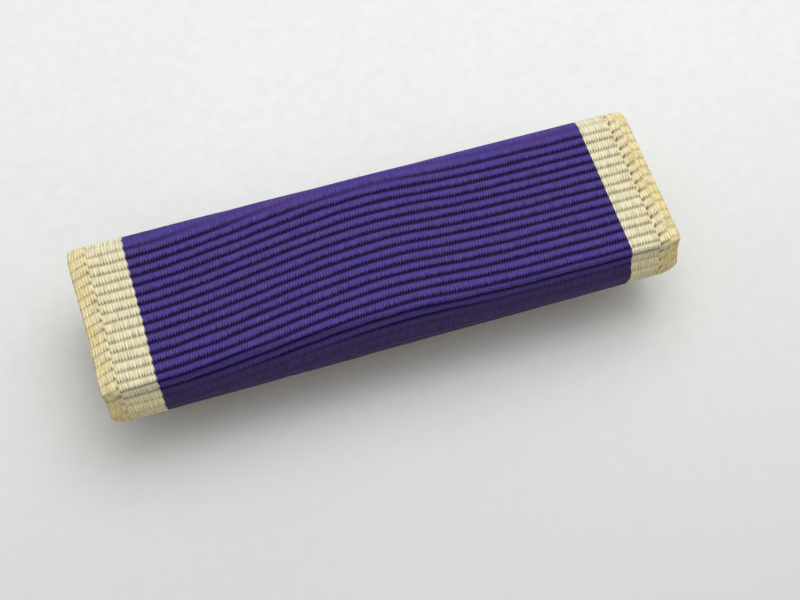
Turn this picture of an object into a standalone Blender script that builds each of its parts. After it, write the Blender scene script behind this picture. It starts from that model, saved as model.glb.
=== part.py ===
"""A medal ribbon bar: a corded ribbon wrapped over a folded brass tray, with a pin and a locking catch.

X runs along the bar, Y across it and Z up. The ribbon side is up. The origin is at the middle of the
footprint, on the surface that the pin's fittings stand on. All values are in metres.
"""

from math import atan2, cos, pi, radians, sin, sqrt, tan

import bmesh
import bpy
from mathutils import Vector

MM = 0.001

# Fits
TOUCH_GAP = 0.05 * MM  # between pieces that bear on each other
RUN_GAP = 0.07 * MM  # round a shaft that turns

# Ribbon
RIBBON_WIDTH = 34.925 * MM  # the ribbon's own width, which runs along the bar
RIBBON_THICKNESS = 0.45 * MM
BAR_DEPTH = 10.6 * MM  # over the ribbon, from long edge to long edge
TOP_Z = 6.6 * MM
WRAP_HEIGHT = 3.7 * MM  # from the ribbon's top face to the underside of its tucked ends
WALL_LEAN = radians(10)  # each long wall leans in towards the underside
TOP_BEND = 2.0 * MM
LOW_BEND = 1.0 * MM
TUCK_GAP = 3.0 * MM  # between the ribbon's two cut ends

# Brass tray
TRAY_LENGTH = 33.6 * MM
TRAY_SHEET = 0.4 * MM
FLANGE_GAP = 3.8 * MM  # between the tray's two long flanges
TAB_WIDTH = 2.6 * MM
TAB_SHEET = 0.36 * MM
TAB_REACH = 1.7 * MM  # how far a tab runs under the plate
TAB_ROOT = 2.0 * MM  # how far a tab runs into the tray's top
TAB_BEND = 0.5 * MM
TAB_CLEARANCE = 0.12 * MM  # from the tray's end to the tab's upright

# Card
CARD_SHORTER = 0.4 * MM

# Back plate
PLATE_THICKNESS = 0.5 * MM
PLATE_LENGTH = 33.4 * MM
PLATE_DEPTH = 8.2 * MM
PLATE_CORNER = 1.0 * MM

# Fittings, which hang below the plate
FOOT_SHEET = 0.35 * MM
FOOT_LENGTH = 5.7 * MM
FOOT_DEPTH = 2.6 * MM
FOOT_CORNER = 0.6 * MM
FOOT_SKIM = 0.01 * MM  # keeps the hinge foot's faces off the bracket's own
FOOT_END_X = 15.2 * MM  # the outer end of each foot
EAR_DEPTH = 3.0 * MM  # over both ears of the hinge bracket
EAR_LENGTH = 2.3 * MM
EAR_BEND = 0.5 * MM
EAR_ROUND = 0.55 * MM

# Pin and hinge
HINGE_X = -12.2 * MM
PIVOT_RADIUS = 0.35 * MM
PIVOT_HEAD_RADIUS = 0.62 * MM
PIVOT_HEAD_HEIGHT = 0.28 * MM
EYE_RADIUS = 0.72 * MM
EYE_LENGTH = 2.1 * MM
PIN_RADIUS = 0.33 * MM
PIN_ROOT = 0.5 * MM  # from the hinge axis to the stem's buried end
PIN_TAPER_X = 13.9 * MM
PIN_TIP_X = 15.4 * MM
PIN_TIP_RADIUS = 0.04 * MM
PIN_OGIVE = 1.6  # a higher power gives the point a fuller shape

# Catch
CATCH_START_X = 11.3 * MM
CATCH_LENGTH = 2.1 * MM
CATCH_BORE = 0.72 * MM
CATCH_SHEET = 0.3 * MM
CATCH_MOUTH = 0.9 * MM  # the opening that the pin passes
WEB_DEPTH = 0.9 * MM
WEB_BURIED = 0.15 * MM
WEB_CORNER = 0.1 * MM
ROTOR_BARREL = 0.66 * MM
ROTOR_COLLAR = 0.9 * MM
COLLAR_LENGTH = 0.3 * MM
DISC_LENGTH = 0.36 * MM
SLOT_GAP = 0.07 * MM  # from the pin to each side of the slot
LEVER_REACH = 2.3 * MM
LEVER_WIDTH = 0.9 * MM
LEVER_SHEET = 0.24 * MM

# Rivets
RIVET_RADIUS = 0.35 * MM
RIVET_HEAD_RADIUS = 0.56 * MM
RIVET_HEAD_HEIGHT = 0.3 * MM
RIVET_INSET = 0.85 * MM  # from a foot's end to its rivet
DOME_SHOULDER = 0.55  # where a head starts to round off, as a share of its radius
DOME_DROP = 0.15  # how far it has rounded off there, as a share of its height

# Smoothness
BEND_STEPS = 8
FINE_STEPS = 4
RING_SIDES = 28
HOLE_SIDES = 24
SHARP_ANGLE = radians(35)

# Tools
CUT_PAST = 1.0 * MM  # how far a cutter runs past the faces that it cuts

# Values worked out from those above
WRAP_LOW_Z = TOP_Z - WRAP_HEIGHT
PLATE_TOP_Z = WRAP_LOW_Z - TOUCH_GAP
PLATE_LOW_Z = PLATE_TOP_Z - PLATE_THICKNESS
FOOT_TOP_Z = PLATE_LOW_Z - TOUCH_GAP
FOOT_LOW_Z = FOOT_TOP_Z - FOOT_SHEET
TRAY_INSET = RIBBON_THICKNESS + TOUCH_GAP
CARD_INSET = TRAY_INSET + TRAY_SHEET + TOUCH_GAP
CATCH_OUTER = CATCH_BORE + CATCH_SHEET
PIN_Z = sqrt(CATCH_OUTER**2 - (CATCH_MOUTH / 2) ** 2)  # the cradle's two lips stand at Z = 0
CATCH_END_X = CATCH_START_X + CATCH_LENGTH
ROTOR_START_X = CATCH_START_X - TOUCH_GAP - COLLAR_LENGTH
ROTOR_END_X = CATCH_END_X + TOUCH_GAP + DISC_LENGTH
FOOT_START_X = FOOT_END_X - FOOT_LENGTH


def clear_scene():
    for old in list(bpy.data.objects):
        bpy.data.objects.remove(old)


def plain_material(name, colour, roughness, metallic):
    made = bpy.data.materials.new(name)
    made.use_nodes = True
    shader = made.node_tree.nodes["Principled BSDF"]
    shader.inputs["Base Color"].default_value = (*colour, 1.0)
    shader.inputs["Roughness"].default_value = roughness
    shader.inputs["Metallic"].default_value = metallic
    return made


def in_space(axis, along, u, v):
    """A point given along one axis and in the plane across it: YZ for X, XZ for Y and XY for Z."""
    if axis == "X":
        return Vector((along, u, v))
    if axis == "Y":
        return Vector((u, along, v))
    return Vector((u, v, along))


def add_object(name, mesh, material, origin=(0.0, 0.0, 0.0)):
    """An object whose origin is at the given place and whose mesh was made in world coordinates."""
    bmesh.ops.recalc_face_normals(mesh, faces=mesh.faces)
    bmesh.ops.translate(mesh, verts=mesh.verts, vec=-Vector(origin))
    data = bpy.data.meshes.new(name)
    mesh.to_mesh(data)
    mesh.free()
    data.materials.append(material)
    data.shade_smooth()
    data.set_sharp_from_angle(angle=SHARP_ANGLE)
    made = bpy.data.objects.new(name, data)
    made.location = origin
    bpy.context.scene.collection.objects.link(made)
    return made


def combine(target, operation, name, mesh):
    """Joins a shape to the target, or cuts it out, with a Boolean whose tool isn't a piece of the bar."""
    tool = add_object(name, mesh, target.data.materials[0])
    tool.hide_render = True
    tool.display_type = "WIRE"
    boolean = target.modifiers.new(name, "BOOLEAN")
    boolean.operation = operation
    boolean.object = tool


def arc(centre, radius, start, turn, steps):
    """Points along an arc, both ends included. Angles are in radians."""
    angles = [start + turn * i / steps for i in range(steps + 1)]
    return [(centre[0] + radius * cos(a), centre[1] + radius * sin(a)) for a in angles]


def bent_line(corners, radii, inset=0.0, steps=BEND_STEPS):
    """A line with rounded corners that all turn left, moved to its left by inset."""
    points = [Vector(corner) for corner in corners]
    ways = [(after - before).normalized() for before, after in zip(points, points[1:])]
    lefts = [Vector((-way.y, way.x)) for way in ways]
    line = [tuple(points[0] + lefts[0] * inset)]
    for corner, radius, before, after in zip(points[1:], radii, lefts, lefts[1:]):
        centre = corner + (before + after) * (radius / (1 + before.dot(after)))
        start = atan2(-before.y, -before.x)
        turn = before.angle(after)
        line += arc(centre, radius - inset, start, turn, steps)
    line.append(tuple(points[-1] + lefts[-1] * inset))
    return line


def sheet_mesh(outer, inner, axis, start, stop):
    """A bent sheet between two lines of equally many points, extruded along an axis."""
    mesh = bmesh.new()
    stations = []
    for (outer_u, outer_v), (inner_u, inner_v) in zip(outer, inner):
        places = (
            in_space(axis, start, outer_u, outer_v),
            in_space(axis, stop, outer_u, outer_v),
            in_space(axis, stop, inner_u, inner_v),
            in_space(axis, start, inner_u, inner_v),
        )
        stations.append([mesh.verts.new(place) for place in places])
    mesh.faces.new(stations[0])
    mesh.faces.new(stations[-1])
    for here, there in zip(stations, stations[1:]):
        for side in range(4):
            after = (side + 1) % 4
            mesh.faces.new((here[side], here[after], there[after], there[side]))
    return mesh


def prism_mesh(outline, axis, start, stop):
    """A closed outline extruded along an axis."""
    mesh = bmesh.new()
    near = [mesh.verts.new(in_space(axis, start, u, v)) for u, v in outline]
    far = [mesh.verts.new(in_space(axis, stop, u, v)) for u, v in outline]
    mesh.faces.new(near)
    mesh.faces.new(far)
    for i in range(len(outline)):
        after = (i + 1) % len(outline)
        mesh.faces.new((near[i], near[after], far[after], far[i]))
    return mesh


def turned_mesh(profile, axis, centre, sides=RING_SIDES):
    """A solid of revolution. Its profile holds (radius, place along the axis), from pole to pole."""
    mesh = bmesh.new()
    rows = []
    for radius, along in profile:
        count = sides if radius else 1
        ring = [(centre[0] + radius * cos(a), centre[1] + radius * sin(a)) for a in ring_angles(count)]
        rows.append([mesh.verts.new(in_space(axis, along, u, v)) for u, v in ring])
    for here, there in zip(rows, rows[1:]):
        for i in range(sides):
            after = (i + 1) % sides
            corners = [here[i % len(here)], here[after % len(here)]]
            corners += [there[after % len(there)], there[i % len(there)]]
            mesh.faces.new(list(dict.fromkeys(corners)))
    return mesh


def ring_angles(count):
    return [2 * pi * i / count for i in range(count)]


def rod_mesh(radius, axis, centre, start, stop, sides=RING_SIDES):
    return prism_mesh(arc(centre, radius, 0, 2 * pi, sides)[:-1], axis, start, stop)


def rounded_box_outline(low, high, radius):
    """A rectangle between two corners, with round corners."""
    outline = []
    for centre, start in (
        ((high[0] - radius, high[1] - radius), 0),
        ((low[0] + radius, high[1] - radius), pi / 2),
        ((low[0] + radius, low[1] + radius), pi),
        ((high[0] - radius, low[1] + radius), 3 * pi / 2),
    ):
        outline += arc(centre, radius, start, pi / 2, FINE_STEPS)
    return outline


def rivet_profile(low_head, low_face, high_face, high_head, shank, head):
    """A rivet with two domed heads, from the outside of one head to the outside of the other."""
    shoulder = DOME_SHOULDER * head
    low_drop = DOME_DROP * (low_face - low_head)
    high_drop = DOME_DROP * (high_head - high_face)
    low_rim = (low_head + low_face) / 2
    high_rim = (high_head + high_face) / 2
    return [
        (0, low_head),
        (shoulder, low_head + low_drop),
        (head, low_rim),
        (head, low_face),
        (shank, low_face),
        (shank, high_face),
        (head, high_face),
        (head, high_rim),
        (shoulder, high_head - high_drop),
        (0, high_head),
    ]


def wrap_line(inset, gap):
    """The bar's cross-section in Y and Z, moved in by inset, with a gap in the middle of its underside."""
    wall = TOP_BEND * tan(WALL_LEAN) + TOP_BEND / cos(WALL_LEAN) - TOP_BEND
    top_y = BAR_DEPTH / 2 + wall  # where the wall would meet the top face, were it not rounded
    low_y = top_y - WRAP_HEIGHT * tan(WALL_LEAN)
    corners = (
        (gap / 2, WRAP_LOW_Z),
        (low_y, WRAP_LOW_Z),
        (top_y, TOP_Z),
        (-top_y, TOP_Z),
        (-low_y, WRAP_LOW_Z),
        (-gap / 2, WRAP_LOW_Z),
    )
    radii = (LOW_BEND, TOP_BEND, TOP_BEND, LOW_BEND)
    return bent_line(corners, radii, inset)


def add_ribbon():
    cloth = plain_material("purple ribbon", (0.10, 0.055, 0.33), 0.85, 0.0)
    outer = wrap_line(0, TUCK_GAP)
    inner = wrap_line(RIBBON_THICKNESS, TUCK_GAP)
    mesh = sheet_mesh(outer, inner, "X", -RIBBON_WIDTH / 2, RIBBON_WIDTH / 2)
    return add_object("ribbon", mesh, cloth)


def tab_mesh(side):
    """One end tab: along the tray's top, down past its end and back under the plate."""
    half_tray = TRAY_LENGTH / 2
    outer_x = half_tray + TAB_CLEARANCE + TAB_SHEET
    top_z = TOP_Z - TRAY_INSET - (TRAY_SHEET - TAB_SHEET) / 2
    low_z = FOOT_TOP_Z - TAB_SHEET
    corners = [
        (outer_x - TAB_REACH, low_z),
        (outer_x, low_z),
        (outer_x, top_z),
        (half_tray - TAB_ROOT, top_z),
    ]
    outer = bent_line(corners, (TAB_BEND, TAB_BEND), 0, FINE_STEPS)
    inner = bent_line(corners, (TAB_BEND, TAB_BEND), TAB_SHEET, FINE_STEPS)
    outer = [(side * x, z) for x, z in outer]
    inner = [(side * x, z) for x, z in inner]
    return sheet_mesh(outer, inner, "Y", -TAB_WIDTH / 2, TAB_WIDTH / 2)


def add_tray(brass):
    outer = wrap_line(TRAY_INSET, FLANGE_GAP)
    inner = wrap_line(TRAY_INSET + TRAY_SHEET, FLANGE_GAP)
    mesh = sheet_mesh(outer, inner, "X", -TRAY_LENGTH / 2, TRAY_LENGTH / 2)
    tray = add_object("bar_tray", mesh, brass)
    combine(tray, "UNION", "tool_tab_hinge_end", tab_mesh(-1))
    combine(tray, "UNION", "tool_tab_catch_end", tab_mesh(1))
    return tray


def add_card():
    card = plain_material("grey card", (0.42, 0.36, 0.27), 0.9, 0.0)
    half = TRAY_LENGTH / 2 - CARD_SHORTER
    mesh = prism_mesh(wrap_line(CARD_INSET, FLANGE_GAP), "X", -half, half)
    return add_object("filler_card", mesh, card)


def rivet_places():
    """{name: X} of the four rivets, two in each foot."""
    outer = FOOT_END_X - RIVET_INSET
    inner = FOOT_START_X + RIVET_INSET
    return {
        "hinge_rivet_outer": -outer,
        "hinge_rivet_inner": -inner,
        "catch_rivet_inner": inner,
        "catch_rivet_outer": outer,
    }


def drill(target, name, axis, centre, radius, start, stop):
    combine(target, "DIFFERENCE", name, rod_mesh(radius, axis, centre, start, stop, HOLE_SIDES))


def add_plate(brass):
    low = (-PLATE_LENGTH / 2, -PLATE_DEPTH / 2)
    high = (PLATE_LENGTH / 2, PLATE_DEPTH / 2)
    outline = rounded_box_outline(low, high, PLATE_CORNER)
    plate = add_object("back_plate", prism_mesh(outline, "Z", PLATE_LOW_Z, PLATE_TOP_Z), brass)
    for name, x in rivet_places().items():
        start = PLATE_LOW_Z - CUT_PAST
        stop = PLATE_TOP_Z + CUT_PAST
        drill(plate, f"tool_plate_{name}", "Z", (x, 0), RIVET_RADIUS + TOUCH_GAP, start, stop)
    return plate


def foot_mesh(side, sheet_inset):
    """A riveted foot, on the hinge side with -1 and on the catch side with 1."""
    ends = sorted((side * FOOT_START_X, side * FOOT_END_X))
    low = (ends[0], -FOOT_DEPTH / 2)
    high = (ends[1], FOOT_DEPTH / 2)
    outline = rounded_box_outline(low, high, FOOT_CORNER)
    return prism_mesh(outline, "Z", FOOT_LOW_Z + sheet_inset, FOOT_TOP_Z - sheet_inset)


def round_ear_ends(mesh):
    """Rounds the lower corners of the hinge bracket's two ears."""
    ends = [
        edge
        for edge in mesh.edges
        if all(abs(vert.co.z) < TOUCH_GAP for vert in edge.verts)
        and abs(edge.verts[0].co.x - edge.verts[1].co.x) < TOUCH_GAP
    ]
    bmesh.ops.bevel(mesh, geom=ends, offset=EAR_ROUND, segments=FINE_STEPS, affect="EDGES", profile=0.5)


def add_hinge_bracket(brass):
    half = EAR_DEPTH / 2
    corners = ((half, 0), (half, FOOT_TOP_Z), (-half, FOOT_TOP_Z), (-half, 0))
    outer = bent_line(corners, (EAR_BEND, EAR_BEND), 0, FINE_STEPS)
    inner = bent_line(corners, (EAR_BEND, EAR_BEND), FOOT_SHEET, FINE_STEPS)
    mesh = sheet_mesh(outer, inner, "X", HINGE_X - EAR_LENGTH / 2, HINGE_X + EAR_LENGTH / 2)
    round_ear_ends(mesh)
    bracket = add_object("hinge_bracket", mesh, brass)
    combine(bracket, "UNION", "tool_hinge_foot", foot_mesh(-1, FOOT_SKIM))
    drill_foot(bracket, "hinge")
    drill(bracket, "tool_hinge_bore", "Y", (HINGE_X, PIN_Z), PIVOT_RADIUS + TOUCH_GAP, -EAR_DEPTH, EAR_DEPTH)
    return bracket


def drill_foot(target, prefix):
    for name, x in rivet_places().items():
        if name.startswith(prefix):
            start = FOOT_LOW_Z - CUT_PAST
            stop = FOOT_TOP_Z + CUT_PAST
            drill(target, f"tool_foot_{name}", "Z", (x, 0), RIVET_RADIUS + TOUCH_GAP, start, stop)


def add_hinge_pin(steel):
    face = EAR_DEPTH / 2 + TOUCH_GAP
    head = face + PIVOT_HEAD_HEIGHT
    profile = rivet_profile(-head, -face, face, head, PIVOT_RADIUS, PIVOT_HEAD_RADIUS)
    mesh = turned_mesh(profile, "Y", (HINGE_X, PIN_Z))
    return add_object("hinge_pin", mesh, steel, (HINGE_X, 0, PIN_Z))


def add_pin_stem(steel):
    origin = (HINGE_X, 0, PIN_Z)
    eye = rod_mesh(EYE_RADIUS, "Y", (HINGE_X, PIN_Z), -EYE_LENGTH / 2, EYE_LENGTH / 2)
    stem = add_object("pin_stem", eye, steel, origin)
    profile = [(0, HINGE_X + PIN_ROOT), (PIN_RADIUS, HINGE_X + PIN_ROOT)]
    profile += point_profile()
    combine(stem, "UNION", "tool_stem", turned_mesh(profile, "X", (0, PIN_Z), HOLE_SIDES))
    bore = PIVOT_RADIUS + RUN_GAP
    drill(stem, "tool_eye_bore", "Y", (HINGE_X, PIN_Z), bore, -EYE_LENGTH, EYE_LENGTH)
    return stem


def point_profile():
    """The ground point: a taper that rounds off to a fine tip."""
    profile = []
    for i in range(FINE_STEPS + 1):
        share = i / FINE_STEPS
        x = PIN_TAPER_X + share * (PIN_TIP_X - PIN_TAPER_X)
        radius = PIN_TIP_RADIUS + (PIN_RADIUS - PIN_TIP_RADIUS) * sqrt(1 - share**PIN_OGIVE)
        profile.append((radius, x))
    profile.append((0, PIN_TIP_X + PIN_TIP_RADIUS))
    return profile


def add_catch_base(brass):
    mouth = 2 * atan2(CATCH_MOUTH / 2, PIN_Z)
    start = -pi / 2 + mouth / 2
    turn = 2 * pi - mouth
    outer = arc((0, PIN_Z), CATCH_OUTER, start, turn, RING_SIDES)
    inner = arc((0, PIN_Z), CATCH_BORE, start, turn, RING_SIDES)
    base = add_object("catch_base", sheet_mesh(outer, inner, "X", CATCH_START_X, CATCH_END_X), brass)
    web_low = (-WEB_DEPTH / 2, PIN_Z + CATCH_OUTER - 2 * WEB_BURIED)
    web_high = (WEB_DEPTH / 2, FOOT_LOW_Z + WEB_BURIED)
    web = rounded_box_outline(web_low, web_high, WEB_CORNER)
    start_x = CATCH_START_X + TOUCH_GAP
    end_x = CATCH_END_X - TOUCH_GAP
    combine(base, "UNION", "tool_catch_web", prism_mesh(web, "X", start_x, end_x))
    combine(base, "UNION", "tool_catch_foot", foot_mesh(1, 0))
    drill_foot(base, "catch")
    return base


def slot_outline():
    """The pin's way into the rotor: a slot with a round bottom on the rotor's axis, open downwards."""
    half = PIN_RADIUS + SLOT_GAP
    reach = 2 * ROTOR_COLLAR
    return [(-half, PIN_Z - reach), (half, PIN_Z - reach)] + arc((0, PIN_Z), half, 0, pi, BEND_STEPS)


def lever_outline():
    half = LEVER_WIDTH / 2
    round_end = arc((LEVER_REACH - half, PIN_Z), half, -pi / 2, pi, BEND_STEPS)
    return round_end + [(0, PIN_Z + half), (0, PIN_Z - half)]


def add_catch_rotor(steel):
    centre = (0, PIN_Z)
    origin = ((CATCH_START_X + CATCH_END_X) / 2, 0, PIN_Z)
    start = ROTOR_START_X + TOUCH_GAP
    stop = ROTOR_END_X - TOUCH_GAP
    rotor = add_object("catch_rotor", rod_mesh(ROTOR_BARREL, "X", centre, start, stop), steel, origin)
    collar = rod_mesh(ROTOR_COLLAR, "X", centre, ROTOR_START_X, ROTOR_START_X + COLLAR_LENGTH)
    combine(rotor, "UNION", "tool_rotor_collar", collar)
    disc = rod_mesh(ROTOR_COLLAR, "X", centre, ROTOR_END_X - DISC_LENGTH, ROTOR_END_X)
    combine(rotor, "UNION", "tool_rotor_disc", disc)
    lever_x = ROTOR_END_X - DISC_LENGTH / 2
    lever = prism_mesh(lever_outline(), "X", lever_x - LEVER_SHEET / 2, lever_x + LEVER_SHEET / 2)
    combine(rotor, "UNION", "tool_rotor_lever", lever)
    slot_start = ROTOR_START_X - CUT_PAST
    slot = prism_mesh(slot_outline(), "X", slot_start, ROTOR_END_X + CUT_PAST)
    combine(rotor, "DIFFERENCE", "tool_rotor_slot", slot)
    return rotor


def add_rivets(brass):
    low_face = FOOT_LOW_Z - TOUCH_GAP
    high_face = PLATE_TOP_Z + TOUCH_GAP
    profile = rivet_profile(
        low_face - RIVET_HEAD_HEIGHT,
        low_face,
        high_face,
        high_face + RIVET_HEAD_HEIGHT,
        RIVET_RADIUS,
        RIVET_HEAD_RADIUS,
    )
    for name, x in rivet_places().items():
        add_object(name, turned_mesh(profile, "Z", (x, 0), HOLE_SIDES), brass, (x, 0, FOOT_TOP_Z))


def build():
    clear_scene()
    brass = plain_material("brass sheet", (0.72, 0.51, 0.22), 0.35, 1.0)
    steel = plain_material("nickel-plated steel", (0.62, 0.60, 0.56), 0.28, 1.0)
    add_ribbon()
    add_tray(brass)
    add_card()
    add_plate(brass)
    add_hinge_bracket(brass)
    add_hinge_pin(steel)
    add_pin_stem(steel)
    add_catch_base(brass)
    add_catch_rotor(steel)
    add_rivets(brass)


build()
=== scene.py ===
from functools import partial
from math import pi, radians, sin, tan

import bmesh
import bpy
from mathutils import Matrix, Vector


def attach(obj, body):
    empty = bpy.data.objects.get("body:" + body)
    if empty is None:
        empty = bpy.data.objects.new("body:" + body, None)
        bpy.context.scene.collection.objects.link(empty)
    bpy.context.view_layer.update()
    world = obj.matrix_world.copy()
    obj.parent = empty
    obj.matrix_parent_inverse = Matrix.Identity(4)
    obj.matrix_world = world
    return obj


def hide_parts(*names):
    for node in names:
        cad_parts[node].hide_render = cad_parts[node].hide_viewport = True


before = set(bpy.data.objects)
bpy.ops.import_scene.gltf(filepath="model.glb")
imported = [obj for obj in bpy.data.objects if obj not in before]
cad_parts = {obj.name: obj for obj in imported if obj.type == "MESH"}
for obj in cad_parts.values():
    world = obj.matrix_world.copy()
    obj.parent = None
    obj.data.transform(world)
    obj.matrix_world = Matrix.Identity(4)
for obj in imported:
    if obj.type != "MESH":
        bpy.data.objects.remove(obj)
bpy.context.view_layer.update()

mm = 0.001
scene = bpy.context.scene


def linear(hexColour):
    parts = [int(hexColour[i : i + 2], 16) / 255 for i in (1, 3, 5)]
    parts = [c / 12.92 if c <= 0.04045 else ((c + 0.055) / 1.055) ** 2.4 for c in parts]
    return (*parts, 1.0)


def addNode(tree, kind, feeds, out=0, **settings):  # gives back one of the new node's outputs
    node = tree.nodes.new(kind)
    for name, value in settings.items():
        setattr(node, name, value)
    for place, value in feeds.items():
        socket = node.inputs[place]
        if isinstance(value, bpy.types.NodeSocket):
            tree.links.new(value, socket)
        else:
            socket.default_value = value
    return node.outputs[out]


softly = {"interpolation_type": "SMOOTHSTEP"}
asColour = {"out": 2, "data_type": "RGBA"}
mostNoise = {1: 0.3, 2: 0.7}  # nearly all of a noise's values lie between these


def linkToScene(name, data):
    made = bpy.data.objects.new(name, data)
    scene.collection.objects.link(made)
    return made


# the camera looks down from the front left, a little over the middle of the bar
cameraPlan = {
    "place": (-10.455, -31.639, 69.920),  # mm
    "ahead": (0.15112751, 0.40112802, -0.90346931),
    "right": (0.95412489, -0.29816922, 0.02721785),
    "lens": 54.76,
}


def addCamera(plan):
    ahead = Vector(plan["ahead"]).normalized()
    right = Vector(plan["right"]).normalized()
    data = bpy.data.cameras.new("camera")
    data.lens = plan["lens"]
    data.sensor_width = 36
    data.clip_start = 0.5 * mm
    data.clip_end = 5
    made = linkToScene("camera", data)
    turn = Matrix((right, right.cross(ahead), -ahead)).transposed().to_4x4()
    made.matrix_world = Matrix.Translation(Vector(plan["place"]) * mm) @ turn
    scene.camera = made


# one big soft box a little behind the bar, in a white room that is darker low down and on the near side
lightPlan = {
    "boxPlace": (22, 40, 125),
    "boxSide": 110,
    "boxPower": 0.1,
    "boxColour": "#fffefa",
    "brightWay": (0.12, 0.22, 0.97),
    "brightRoom": 0.8,
    "darkRoom": 0.03,
    "roomFromTo": (-0.25, 0.9),  # how far a way faces brightWay, where it is darkest and brightest
    "roomColour": "#fdfeff",
    "backdrop": 0.72,
}


def addLights(plan):
    data = bpy.data.lights.new("softBox", "AREA")
    data.shape = "SQUARE"
    data.size = plan["boxSide"] * mm
    data.energy = plan["boxPower"]
    data.color = linear(plan["boxColour"])[:3]
    made = linkToScene("softBox", data)
    made.location = Vector(plan["boxPlace"]) * mm
    made.rotation_euler = made.location.to_track_quat("Z", "Y").to_euler()
    room = bpy.data.worlds.new("room")
    room.use_nodes = True
    put = partial(addNode, room.node_tree)
    way = put("ShaderNodeTexCoord", {})
    facing = put("ShaderNodeVectorMath", {0: way, 1: plan["brightWay"]}, 1, operation="DOT_PRODUCT")
    darkest, brightest = plan["roomFromTo"]
    feeds = {"Value": facing, 1: darkest, 2: brightest, 3: plan["darkRoom"], 4: plan["brightRoom"]}
    strength = put("ShaderNodeMapRange", feeds, **softly)
    seen = put("ShaderNodeLightPath", {}, "Is Camera Ray")  # the backdrop itself is plain and pale
    strength = put("ShaderNodeMix", {0: seen, 2: strength, 3: plan["backdrop"]})
    shown = room.node_tree.nodes["Background"]
    room.node_tree.links.new(strength, shown.inputs["Strength"])
    shown.inputs["Color"].default_value = linear(plan["roomColour"])
    scene.world = room
    scene.view_settings.view_transform = "Standard"


def startMaterial(name, **values):
    made = bpy.data.materials.new(name)
    made.use_nodes = True
    shader = made.node_tree.nodes["Principled BSDF"]
    for place, value in values.items():
        shader.inputs[place.replace("_", " ")].default_value = value
    return made, shader, partial(addNode, made.node_tree)


# matt painted board: pale, with faint cloudy marks, and painted shade that darkens it towards the near side
floorPlan = {
    "side": 1600,  # mm
    "pale": "#e6e8e7",
    "dull": "#dfe1e0",
    "shadedNear": "#d2d3d1",
    "cloud": 18,
    "speck": 0.9,
    "dullFromTo": (0.7, 1.3),  # of the two noises added together
    "shadeWay": (0.15, 1, 0),
    "shadeFromTo": (-34, 16),  # mm along the way of the painted shade, from the darkest to the lightest
    "bump": 0.01,
}


def addFloor(plan):
    made, shader, put = startMaterial("mattPaintedBoard", Roughness=0.7)
    spot = put("ShaderNodeTexCoord", {}, "Object")
    cloud = put("ShaderNodeTexNoise", {"Vector": spot, "Scale": 1 / (plan["cloud"] * mm), "Detail": 4.0})
    speck = put("ShaderNodeTexNoise", {"Vector": spot, "Scale": 1 / (plan["speck"] * mm), "Detail": 2.0})
    mixed = put("ShaderNodeMath", {0: cloud, 1: speck}, operation="ADD")
    palest, dullest = plan["dullFromTo"]
    amount = put("ShaderNodeMapRange", {"Value": mixed, 1: palest, 2: dullest})
    feeds = {0: amount, 6: linear(plan["pale"]), 7: linear(plan["dull"])}
    tone = put("ShaderNodeMix", feeds, **asColour)
    # painted shade: the board turns greyer towards the near side
    near = put("ShaderNodeVectorMath", {0: spot, 1: plan["shadeWay"]}, 1, operation="DOT_PRODUCT")
    mostShaded, leastShaded = (edge * mm for edge in plan["shadeFromTo"])
    feeds = {"Value": near, 1: mostShaded, 2: leastShaded, 3: 1.0, 4: 0.0}
    near = put("ShaderNodeMapRange", feeds, **softly)
    tone = put("ShaderNodeMix", {0: near, 6: tone, 7: linear(plan["shadedNear"])}, **asColour)
    made.node_tree.links.new(tone, shader.inputs["Base Color"])
    lift = put("ShaderNodeBump", {"Height": speck, "Distance": plan["bump"] * mm, "Strength": 0.3})
    made.node_tree.links.new(lift, shader.inputs["Normal"])
    half = plan["side"] * mm / 2
    mesh = bpy.data.meshes.new("floor")
    corners = [(-half, -half, 0), (half, -half, 0), (half, half, 0), (-half, half, 0)]
    mesh.from_pydata(corners, [], [(0, 1, 2, 3)])
    mesh.materials.append(made)
    linkToScene("floor", mesh)


# the ribbon: ribs of thick weft under fine warp, with sizes in mm
ribbonPlan = {
    "halfWidth": 17.46,
    "pitch": 0.627,
    "ribs": 38,
    "rowsPerRib": 10,
    "columns": 221,
    "innerColumns": 25,
    "crowding": 0.65,  # how much closer the columns stand at the selvedges
    "firstGroove": -0.17,  # from the middle of the top face
    "ribsInFront": 19,  # from the first groove to the front cut end
    "ribHeight": 0.1,
    "ribUneven": 0.15,
    "grooveSharp": 2.6,
    "wallRibs": 0.35,  # shares of the full rib height
    "rimRibs": 0.3,
    "thickness": 0.45,
    "wallThickness": 0.33,
    "thinsFromTo": (3.6, 4.6),  # from the middle of the top face
    "frontRise": 1.02,  # how far the ribs shift back from the left end to the middle
    "riseFromTo": (-14.5, -2.5),
    "middleHump": 0.36,
    "humpAt": (0.5, 4.2),  # its middle and its spread
    "slackAt": (-4.5, 9.0),
    "waver": 0.035,
    "waverPerMetre": 450.0,
    # fades: nothing at the first place, all of it at the second, and a third number is how far it moves
    "frontRibs": (-5.7, -4.9),
    "backRibs": (4.9, 3.7),
    "frontWall": (-4.9, -5.6),
    "backWall": (5.8, 6.8),
    "toBack": (-1.0, 4.6),
    "under": (8.6, 9.6),
    "foldPull": (3.9, 5.6, 0.12),
    "wallPull": (6.3, 9.0, 0.24),
    "droop": (16.7, 17.6, -0.1),
    "backCorner": (-12.0, -17.4, -0.2),  # the left end's back corner
    "pullPower": 6.0,
    "scallop": 0.02,
    "rimWidth": 0.18,
    "rimDrop": 0.07,
    "selvedgeStart": 16.27,  # from the ribbon's own middle line
    "selvedgeRim": 16.93,
    "stepBlend": 0.05,
    "middleLine": -0.15,
    "purpleHalf": 14.29,
    "warp": 0.172,  # two warp threads, one over and one under
    "uvSpan": 40,  # across the UV square
    "seed": 7,
}


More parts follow.
